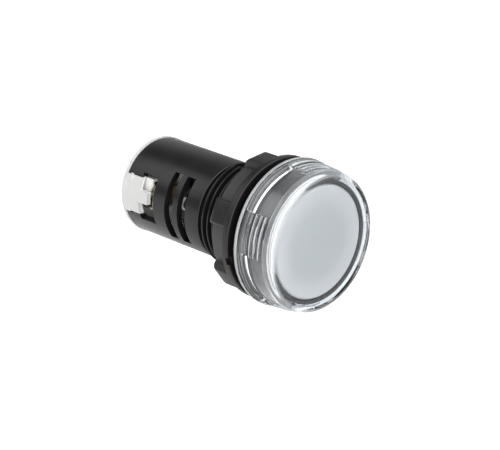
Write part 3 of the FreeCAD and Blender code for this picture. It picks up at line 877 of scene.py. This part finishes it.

# %% [markdown]
# The terminal block is white polyamide from a smooth mould. A little light enters it and
# spreads by half a millimetre, which softens its shadows. Its parts nearer the axis sit back in
# the barrel's shade, and are painted paler, a painted light, so the colour changes with the
# radius.

# %% White polyamide of the terminal block
white_polyamide = moulded("white_polyamide", "#cdcdcb", "#d1d1d0", roughness=0.4,
                          gloss_change=0.05, grain_mm=0.5, grain_depth_mm=0.001,
                          round_mm=0.06)
painted_light_until = 9.4
painted_light_gone_at = 9.9
tree, place, surface = opened(white_polyamide)
reach, _ = reach_and_station(tree, place)
outer = add(tree, "ShaderNodeMapRange", {
    "From Min": painted_light_until * MM, "From Max": painted_light_gone_at * MM,
}, {"Value": reach})
# Painted light: nearer the axis the colour turns paler, for the parts in the barrel's shade.
painted_inner_light = add(tree, "ShaderNodeMix", {"data_type": "RGBA", 6: linear("#f6f6f4")},
              {0: outer.outputs[0], 7: surface.inputs["Base Color"].links[0].from_socket})
tree.links.new(painted_inner_light.outputs[2], surface.inputs["Base Color"])
surface.inputs["Subsurface Weight"].default_value = 0.15
surface.inputs["Subsurface Radius"].default_value = (1.0, 0.9, 0.8)
surface.inputs["Subsurface Scale"].default_value = 0.5 * MM
dress(solids["terminal_block"], white_polyamide)

# %% [markdown]
# The cap is clear polycarbonate, refractive index 1.585, moulded with a trace of blue against
# yellowing. One function gives it any polish: roughness blurs what is seen through it, and
# with a passing share below one the rest is scattered as haze. The ripples are the waviness
# of a moulded wall, a few millimetres wide where it is polished and finer where it isn't.

# %% Clear and hazy polycarbonate
CLEAR_TINT = "#f2f6f9"


def clear(name, roughness, bump_mm, size_mm, passing=1.0):
    """Polycarbonate with a given polish, and the share of light that passes unscattered."""
    finish, tree, place, output = material(name)
    ripple = add(tree, "ShaderNodeTexNoise", {"Scale": per_mm(size_mm), "Detail": 2.0},
                 {"Vector": place})
    bump = add(tree, "ShaderNodeBump", {"Strength": 1.0, "Distance": bump_mm * MM},
               {"Height": ripple.outputs[0]})
    surface = add(tree, "ShaderNodeBsdfPrincipled", {
        "Base Color": linear(CLEAR_TINT), "Roughness": roughness, "IOR": 1.585,
        "Transmission Weight": passing,
    }, {"Normal": bump.outputs[0]})
    tree.links.new(surface.outputs[0], output.inputs[0])
    print("finish", name, "passes", passing)
    return finish


# %% [markdown]
# Seven finishes share the cap. The face and the inside are polished. The pads' lands are
# frosted by sparks in the mould, the band between them is satin, and the rim is hazed by its
# parting line. The ring round the face, the thin ridges and the wall between the pads have a
# slight haze, because a polishing felt doesn't reach into the mould's small features.

# %% Finishes of the cap
cap_finishes = [
    clear("clear_polycarbonate", roughness=0.015, bump_mm=0.0002, size_mm=4.0),
    clear("frosted_polycarbonate", roughness=0.3, bump_mm=0.004, size_mm=0.2),
    clear("satin_polycarbonate", roughness=0.3, bump_mm=0.006, size_mm=0.5, passing=0.85),
    clear("edged_polycarbonate", roughness=0.2, bump_mm=0.001, size_mm=1.0, passing=0.62),
    clear("milky_polycarbonate", roughness=0.1, bump_mm=0.0005, size_mm=2.0, passing=0.86),
    clear("ridge_polycarbonate", roughness=0.2, bump_mm=0.0005, size_mm=1.0, passing=0.55),
    clear("scuffed_polycarbonate", roughness=0.1, bump_mm=0.0005, size_mm=1.0, passing=0.95),
]
POLISHED, FROSTED, SATIN, RIM, RING, RIDGE, WALL = range(len(cap_finishes))
dress(cap, cap_finishes[POLISHED])
for finish in cap_finishes[FROSTED:]:
    cap.data.materials.append(finish)

# %% [markdown]
# Near the rim the black collar stands right behind the frosted land and swallows the light
# that enters it, so the land's colour is painted dark there, a painted shade, and turns pale
# towards the grooves, where the land also grows hazy. Two ramps along the lamp do that, one for
# the painted shade and one for the haze.

# %% Frosting and painted shade along the land
land_end = band_front + 0.3
land_shade_end = band_front + 0.4
tree, place, surface = opened(cap_finishes[FROSTED])
_, station = reach_and_station(tree, place)
haze = add(tree, "ShaderNodeMapRange", {
    "From Min": rim_front * MM, "From Max": land_end * MM, "To Min": 1.0, "To Max": 0.8,
}, {"Value": station})
tree.links.new(haze.outputs[0], surface.inputs["Transmission Weight"])
# Painted shade: the land's colour darkens towards the rim.
land_shade_fade = add(tree, "ShaderNodeMapRange", {
    "From Min": rim_front * MM, "From Max": land_shade_end * MM,
}, {"Value": station})
shade = add(tree, "ShaderNodeMix", {
    "data_type": "RGBA", 6: linear("#0c0e10"), 7: linear(CLEAR_TINT),
}, {0: land_shade_fade.outputs[0]})
tree.links.new(shade.outputs[2], surface.inputs["Base Color"])
print("the frosting fades over", round(land_end - rim_front, 2), "mm")

# %% [markdown]
# Each face of the cap gets its finish from where it lies: its station, its radius and whether
# it is on a pad. Painting by hand would be lost with the next change of a size.

# %% Choose a finish for each face
rim_skin = 0.16
hair = 0.01
tally = [0] * len(cap_finishes)
for face in cap.data.polygons:
    centre = face.center / MM
    y = centre.y
    radius = math.hypot(centre.x, centre.z)
    share = pad_share(math.degrees(math.atan2(centre.z, centre.x)))
    if y > rim_front + fine and radius > rim_radius - rim_skin:
        look = RIM
    elif shoulder < y < rim_front and radius > cap_band_radius - hair:
        look = FROSTED if share > 0.5 else SATIN
    elif ring_rear < y < band_front and share > 0.99 and radius > crest(y) - 1.5 * fine:
        look = RIDGE
    elif y < ring_rear + fine and radius > cap_bore_radius:
        look = RING
    elif y < band_front and share < 0.5 and radius > cap_wall_radius - 2 * hair:
        look = WALL
    else:
        look = POLISHED
    face.material_index = look
    tally[look] += 1
print("polished, frosted, satin, rim, ring, ridge and wall faces:", tally)

# %% [markdown]
# The disc under the lens is opal polycarbonate. It is filled with fine particles that scatter
# light, so it looks even and a little soft. Its border is painted paler, a painted light for
# where it turns into the cup's wall and light comes from both sides. A white diffuse surface
# would do for the colour, but subsurface scattering also gives the soft edge.

# %% Opal polycarbonate
border_from = 0.5 * disc_radius
border_full = 0.97 * disc_radius
opal, tree, place, output = material("opal_polycarbonate")
reach, _ = reach_and_station(tree, place)
border = add(tree, "ShaderNodeMapRange", {
    "interpolation_type": "SMOOTHSTEP",
    "From Min": border_from * MM, "From Max": border_full * MM,
}, {"Value": reach})
# Painted light: the colour pales towards the disc's border.
painted_border_light = add(tree, "ShaderNodeMix", {
    "data_type": "RGBA", 6: linear("#dadbda"), 7: linear("#f0eeee"),
}, {0: border.outputs[0]})
surface = add(tree, "ShaderNodeBsdfPrincipled", {
    "Roughness": 0.35, "IOR": 1.585, "Subsurface Weight": 0.3,
    "Subsurface Radius": (1.0, 1.0, 1.0), "Subsurface Scale": 0.6 * MM,
}, {"Base Color": painted_border_light.outputs[2]})
tree.links.new(surface.outputs[0], output.inputs[0])
dress(solids["diffuser"], opal)
print("the disc pales from", round(border_from, 1), "mm outwards")

# %% [markdown]
# The screws and clamps are nickel-plated steel, the contacts tinned brass. Plating keeps the
# drawing marks of the metal under it, fine lines that stretch each highlight. Noise that is
# squeezed eight times along the lamp draws them. The real lines are a few hundredths of a
# millimetre apart and are drawn coarser, so that they show.

# %% Plated metal
LINE_SQUEEZE = 8.0
LINE_DEPTH_MM = 0.003
LINE_GLOSS = 0.08


def plated(name, colour, roughness, line_mm):
    """A plated metal with fine lines across the lamp."""
    finish, tree, place, output = material(name)
    stretch = add(tree, "ShaderNodeMapping", {"Scale": (1.0, LINE_SQUEEZE, 1.0)},
                  {"Vector": place})
    lines = add(tree, "ShaderNodeTexNoise", {"Scale": per_mm(line_mm), "Detail": 2.0},
                {"Vector": stretch.outputs[0]})
    shine = add(tree, "ShaderNodeMapRange", {
        "To Min": roughness - LINE_GLOSS, "To Max": roughness + LINE_GLOSS,
    }, {"Value": lines.outputs[0]})
    bump = add(tree, "ShaderNodeBump", {"Strength": 0.5, "Distance": LINE_DEPTH_MM * MM},
               {"Height": lines.outputs[0]})
    surface = add(tree, "ShaderNodeBsdfPrincipled", {
        "Base Color": linear(colour), "Metallic": 1.0,
    }, {"Roughness": shine.outputs[0], "Normal": bump.outputs[0]})
    tree.links.new(surface.outputs[0], output.inputs[0])
    print("finish", name, "with lines", line_mm / LINE_SQUEEZE, "mm apart")
    return finish


# %% [markdown]
# The contacts' tails, where they are soldered to the board deep in the barrel, are painted
# dark, a painted shade. The tail ends a little in front of the windows, so the colour changes
# there, along the lamp.

# %% Screws, clamps and contacts
TIN_COLOUR = "#bdb49c"
nickel = plated("nickel_plate", "#c9c5bb", roughness=0.3, line_mm=0.8)
tin = plated("tinned_brass", TIN_COLOUR, roughness=0.35, line_mm=0.6)
tail_dark_to = 29.2
tail_bright_from = 30.6
tree, place, surface = opened(tin)
_, station = reach_and_station(tree, place)
tail = add(tree, "ShaderNodeMapRange", {
    "From Min": tail_dark_to * MM, "From Max": tail_bright_from * MM,
}, {"Value": station})
# Painted shade: the contacts are painted dark on their tails, in front of the windows.
painted_tail_shade = add(tree, "ShaderNodeMix", {
    "data_type": "RGBA", 6: linear("#241f19"), 7: linear(TIN_COLOUR),
}, {0: tail.outputs[0]})
tree.links.new(painted_tail_shade.outputs[2], surface.inputs["Base Color"])
for side in ("left", "right"):
    dress(solids["terminal_screw_" + side], nickel)
    dress(solids["clamp_plate_" + side], nickel)
    dress(solids["contact_" + side], tin)

# %% [markdown]
# The pieces inside can be made out through the slots, in their own shade. All are moulded,
# dipped or sprayed, with a soft gloss, so they share the moulded finish. Their colours are
# the usual ones of such parts, kept dark where the barrel leaves them little light.

# %% Finishes of the pieces inside
inner_looks = {
    "led_board": ("white_solder_mask", "#e8e8e2", "#e2e2dc", 0.3),
    "driver_board": ("dark_solder_mask", "#0c1410", "#101a15", 0.35),
    "smoothing_capacitor": ("shrunk_sleeve", "#16161a", "#1c1c22", 0.25),
    "film_capacitor": ("dipped_epoxy", "#3c1a11", "#34160e", 0.3),
    "dropping_resistor": ("resistor_lacquer", "#0b2022", "#0f282a", 0.35),
    "bleed_resistor": ("tan_lacquer", "#b59a6c", "#c2a878", 0.35),
    "rectifier_diode_1": ("diode_epoxy", "#141414", "#1b1b1b", 0.35),
    "led_lead_left": ("wire_insulation", "#e6e6e2", "#dededa", 0.35),
    "led_1": ("led_package", "#e8e2c4", "#efe9cf", 0.35),
}
sharing = {
    "rectifier_diode_2": "rectifier_diode_1",
    "led_lead_right": "led_lead_left",
    **{f"led_{i}": "led_1" for i in range(2, 7)},
}
for node, (name, colour, second, roughness) in inner_looks.items():
    finish = moulded(name, colour, second, roughness, gloss_change=0.05, grain_mm=0.6,
                     grain_depth_mm=0.003, round_mm=0.08)
    dress(solids[node], finish)
for node, source in sharing.items():
    dress(solids[node], solids[source].data.materials[0])

# %% [markdown]
# The white leads run up the board in the barrel's shade, and are painted near black, a painted
# shade, all but a short way, which is the white bit that shows in the front slot. The painted
# shade is set by height, so it never shows an end.

# %% Painted shade on the leads
lead_shade_above = 2.2
lead_shade_below = -0.4
tree, place, surface = opened(solids["led_lead_left"].data.materials[0])
height = add(tree, "ShaderNodeSeparateXYZ", {}, {0: place}).outputs["Z"]
upper = add(tree, "ShaderNodeMath", {"operation": "GREATER_THAN", 1: lead_shade_above * MM},
            {0: height})
lower = add(tree, "ShaderNodeMath", {"operation": "LESS_THAN", 1: lead_shade_below * MM},
            {0: height})
lead_shade_mask = add(tree, "ShaderNodeMath", {"operation": "MAXIMUM"},
             {0: upper.outputs[0], 1: lower.outputs[0]})
# Painted shade: the leads are painted near black above and below a short white stretch.
lead_painted_shade = add(tree, "ShaderNodeMix", {"data_type": "RGBA", 7: linear("#0c0c0e")},
              {0: lead_shade_mask.outputs[0], 6: surface.inputs["Base Color"].links[0].from_socket})
tree.links.new(lead_painted_shade.outputs[2], surface.inputs["Base Color"])
print("white part of a lead:", round(lead_shade_above - lead_shade_below, 2), "mm")

# %% [markdown]
# The studio is a room with two soft lamps in front of a white backdrop. Area lamps would do,
# but a world that is painted by direction has no edges that show in the disc. The key lamp is
# in front and to the left, and a weaker one above. A patch is given by a direction and by the
# cosines, seen from its middle, at which its glow begins and is full.

# %% Soft patches of light
world = bpy.data.worlds.new("white_studio")
bpy.context.scene.world = world
world.use_nodes = True
room = world.node_tree
room.nodes.clear()
where = add(room, "ShaderNodeTexCoord")


def glow(direction, outer, inner, level):
    """A soft round patch on the room's walls: outer and inner are cosines from its middle."""
    toward = add(room, "ShaderNodeVectorMath", {
        "operation": "DOT_PRODUCT", 1: Vector(direction).normalized(),
    }, {0: where.outputs["Generated"]})
    patch = add(room, "ShaderNodeMapRange", {
        "interpolation_type": "SMOOTHSTEP", "From Min": outer, "From Max": inner,
        "To Min": 0.0, "To Max": level,
    }, {"Value": toward.outputs["Value"]})
    return patch.outputs[0]


key = glow((-0.38, -0.83, 0.41), outer=0.1, inner=0.85, level=2.2)
above = glow((0.3, -0.2, 0.93), outer=0.6, inner=0.95, level=0.5)
room_level = 0.1
both_lamps = add(room, "ShaderNodeMath", {"operation": "ADD"}, {0: key, 1: above})
lit = add(room, "ShaderNodeMath", {"operation": "ADD", 1: room_level},
          {0: both_lamps.outputs[0]})
print("two soft lamps over a room level of", room_level)

# %% [markdown]
# The backdrop is white to the camera and to light that comes through the clear cap, at a
# strength of one. Gloss and metal see it too, but only in two zones: one on the left that
# draws the barrel's long highlight, and a weak one on the right that lifts its far edge.
# Elsewhere gloss sees only the dim room and the lamps, as black flags would leave it, because
# black plastic under a wholly white room turns grey and loses its shape.

# %% The white backdrop
left = glow((-0.50, 0.67, 0.55), outer=0.90, inner=0.98, level=1.15)
right = glow((0.71, 0.67, 0.20), outer=0.75, inner=0.97, level=0.35)
path = add(room, "ShaderNodeLightPath")
zones = add(room, "ShaderNodeMath", {"operation": "MAXIMUM"}, {0: left, 1: right})
mirrored = add(room, "ShaderNodeMath", {"operation": "MULTIPLY"},
               {0: path.outputs["Is Glossy Ray"], 1: zones.outputs[0]})
seen = add(room, "ShaderNodeMath", {"operation": "MAXIMUM"},
           {0: path.outputs["Is Camera Ray"], 1: path.outputs["Is Transmission Ray"]})
plain = add(room, "ShaderNodeMath", {"operation": "MAXIMUM"},
            {0: lit.outputs[0], 1: seen.outputs[0]})
strength = add(room, "ShaderNodeMath", {"operation": "ADD"},
               {0: plain.outputs[0], 1: mirrored.outputs[0]})
backdrop = add(room, "ShaderNodeBackground", {"Color": (1.0, 1.0, 1.0, 1.0)},
               {"Strength": strength.outputs[0]})
add(room, "ShaderNodeOutputWorld", {}, {0: backdrop.outputs[0]})
print("nodes in the room:", len(room.nodes))

# %% [markdown]
# The lamp floats over a sheet of white paper, far enough up to leave only a breath of shadow.
# The paper ends just in front of the lamp, so that the disc mirrors the lamps and not the
# paper's edge. It is a stage piece: it is seen in the pictures, but is no part of the lamp.

# %% The floor
floor_drop = 0.045
floor_half = 1.5
floor_front = 0.05
floor_mesh = bpy.data.meshes.new("studio_floor")
floor_mesh.from_pydata([
    (-floor_half, -floor_front, -floor_drop), (floor_half, -floor_front, -floor_drop),
    (floor_half, floor_half, -floor_drop), (-floor_half, floor_half, -floor_drop),
], [], [(0, 1, 2, 3)])
floor = bpy.data.objects.new("studio_floor", floor_mesh)
bpy.context.scene.collection.objects.link(floor)
floor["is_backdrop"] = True
print("the floor lies", floor_drop / MM, "mm under the lamp's axis")

# %% [markdown]
# Paper scatters light evenly. To the camera and through the cap it also glows a little, which
# takes its pale grey to white and keeps the shadow, and adds no light on the lamp.

# %% White paper
paper_glow = 0.35
paper, tree, _, output = material("white_paper")
sheet = add(tree, "ShaderNodeBsdfDiffuse", {"Color": linear("#f2f2f2")})
lift = add(tree, "ShaderNodeEmission", {
    "Color": (1.0, 1.0, 1.0, 1.0), "Strength": paper_glow,
})
lifted = add(tree, "ShaderNodeAddShader", {}, {0: sheet.outputs[0], 1: lift.outputs[0]})
path = add(tree, "ShaderNodeLightPath")
seen = add(tree, "ShaderNodeMath", {"operation": "MAXIMUM"},
           {0: path.outputs["Is Camera Ray"], 1: path.outputs["Is Transmission Ray"]})
shown = add(tree, "ShaderNodeMixShader", {},
            {0: seen.outputs[0], 1: sheet.outputs[0], 2: lifted.outputs[0]})
tree.links.new(shown.outputs[0], output.inputs[0])
dress(floor, paper)
print("the paper's glow:", paper_glow)

# %% [markdown]
# The photograph looks at the lamp from its left and a little above, from far away, so lines
# that are parallel on the lamp stay nearly parallel. The camera's place and its two directions
# were solved from the rims of the cap and the ends of the barrel, in metres. A target to track
# would be quicker to set up, but would not give the small roll that the photograph has.

# %% The camera
camera_place = Vector((-0.27977, -0.26616, 0.11876))
camera_ahead = Vector((0.6803, 0.6719, -0.2928)).normalized()
camera_up = Vector((0.1545, 0.2590, 0.9534))
camera_right = camera_ahead.cross(camera_up).normalized()
camera_up = camera_right.cross(camera_ahead)
lens = bpy.data.cameras.new("studio_camera")
lens.lens = 145.37
lens.sensor_width = 36.0
lens.clip_start = 0.01
lens.clip_end = 10.0
camera = bpy.data.objects.new("studio_camera", lens)
bpy.context.scene.collection.objects.link(camera)
axes = Matrix((camera_right, camera_up, -camera_ahead)).transposed()
camera.matrix_world = Matrix.Translation(camera_place) @ axes.to_4x4()
bpy.context.scene.camera = camera
bpy.context.scene.view_settings.view_transform = "Standard"
print("the camera stands", round(camera_place.length, 2), "m from the panel's hole")

# %% [markdown]
# Light that enters the thick lens runs to and fro between its two faces before it leaves, so
# the rays are allowed more bounces than usual. Fewer would turn the cap's edges black.

# %% Bounces
rays = bpy.context.scene.cycles
rays.max_bounces = 24
rays.glossy_bounces = 16
rays.transmission_bounces = 20
print("bounces:", rays.max_bounces)

# %% [markdown]
# Last, the size of the dressed lamp is printed, so that a piece that has grown shows up as a
# number.

# %% Print the size
low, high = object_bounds()
print("box in mm:", [round(v / MM, 2) for v in high - low])
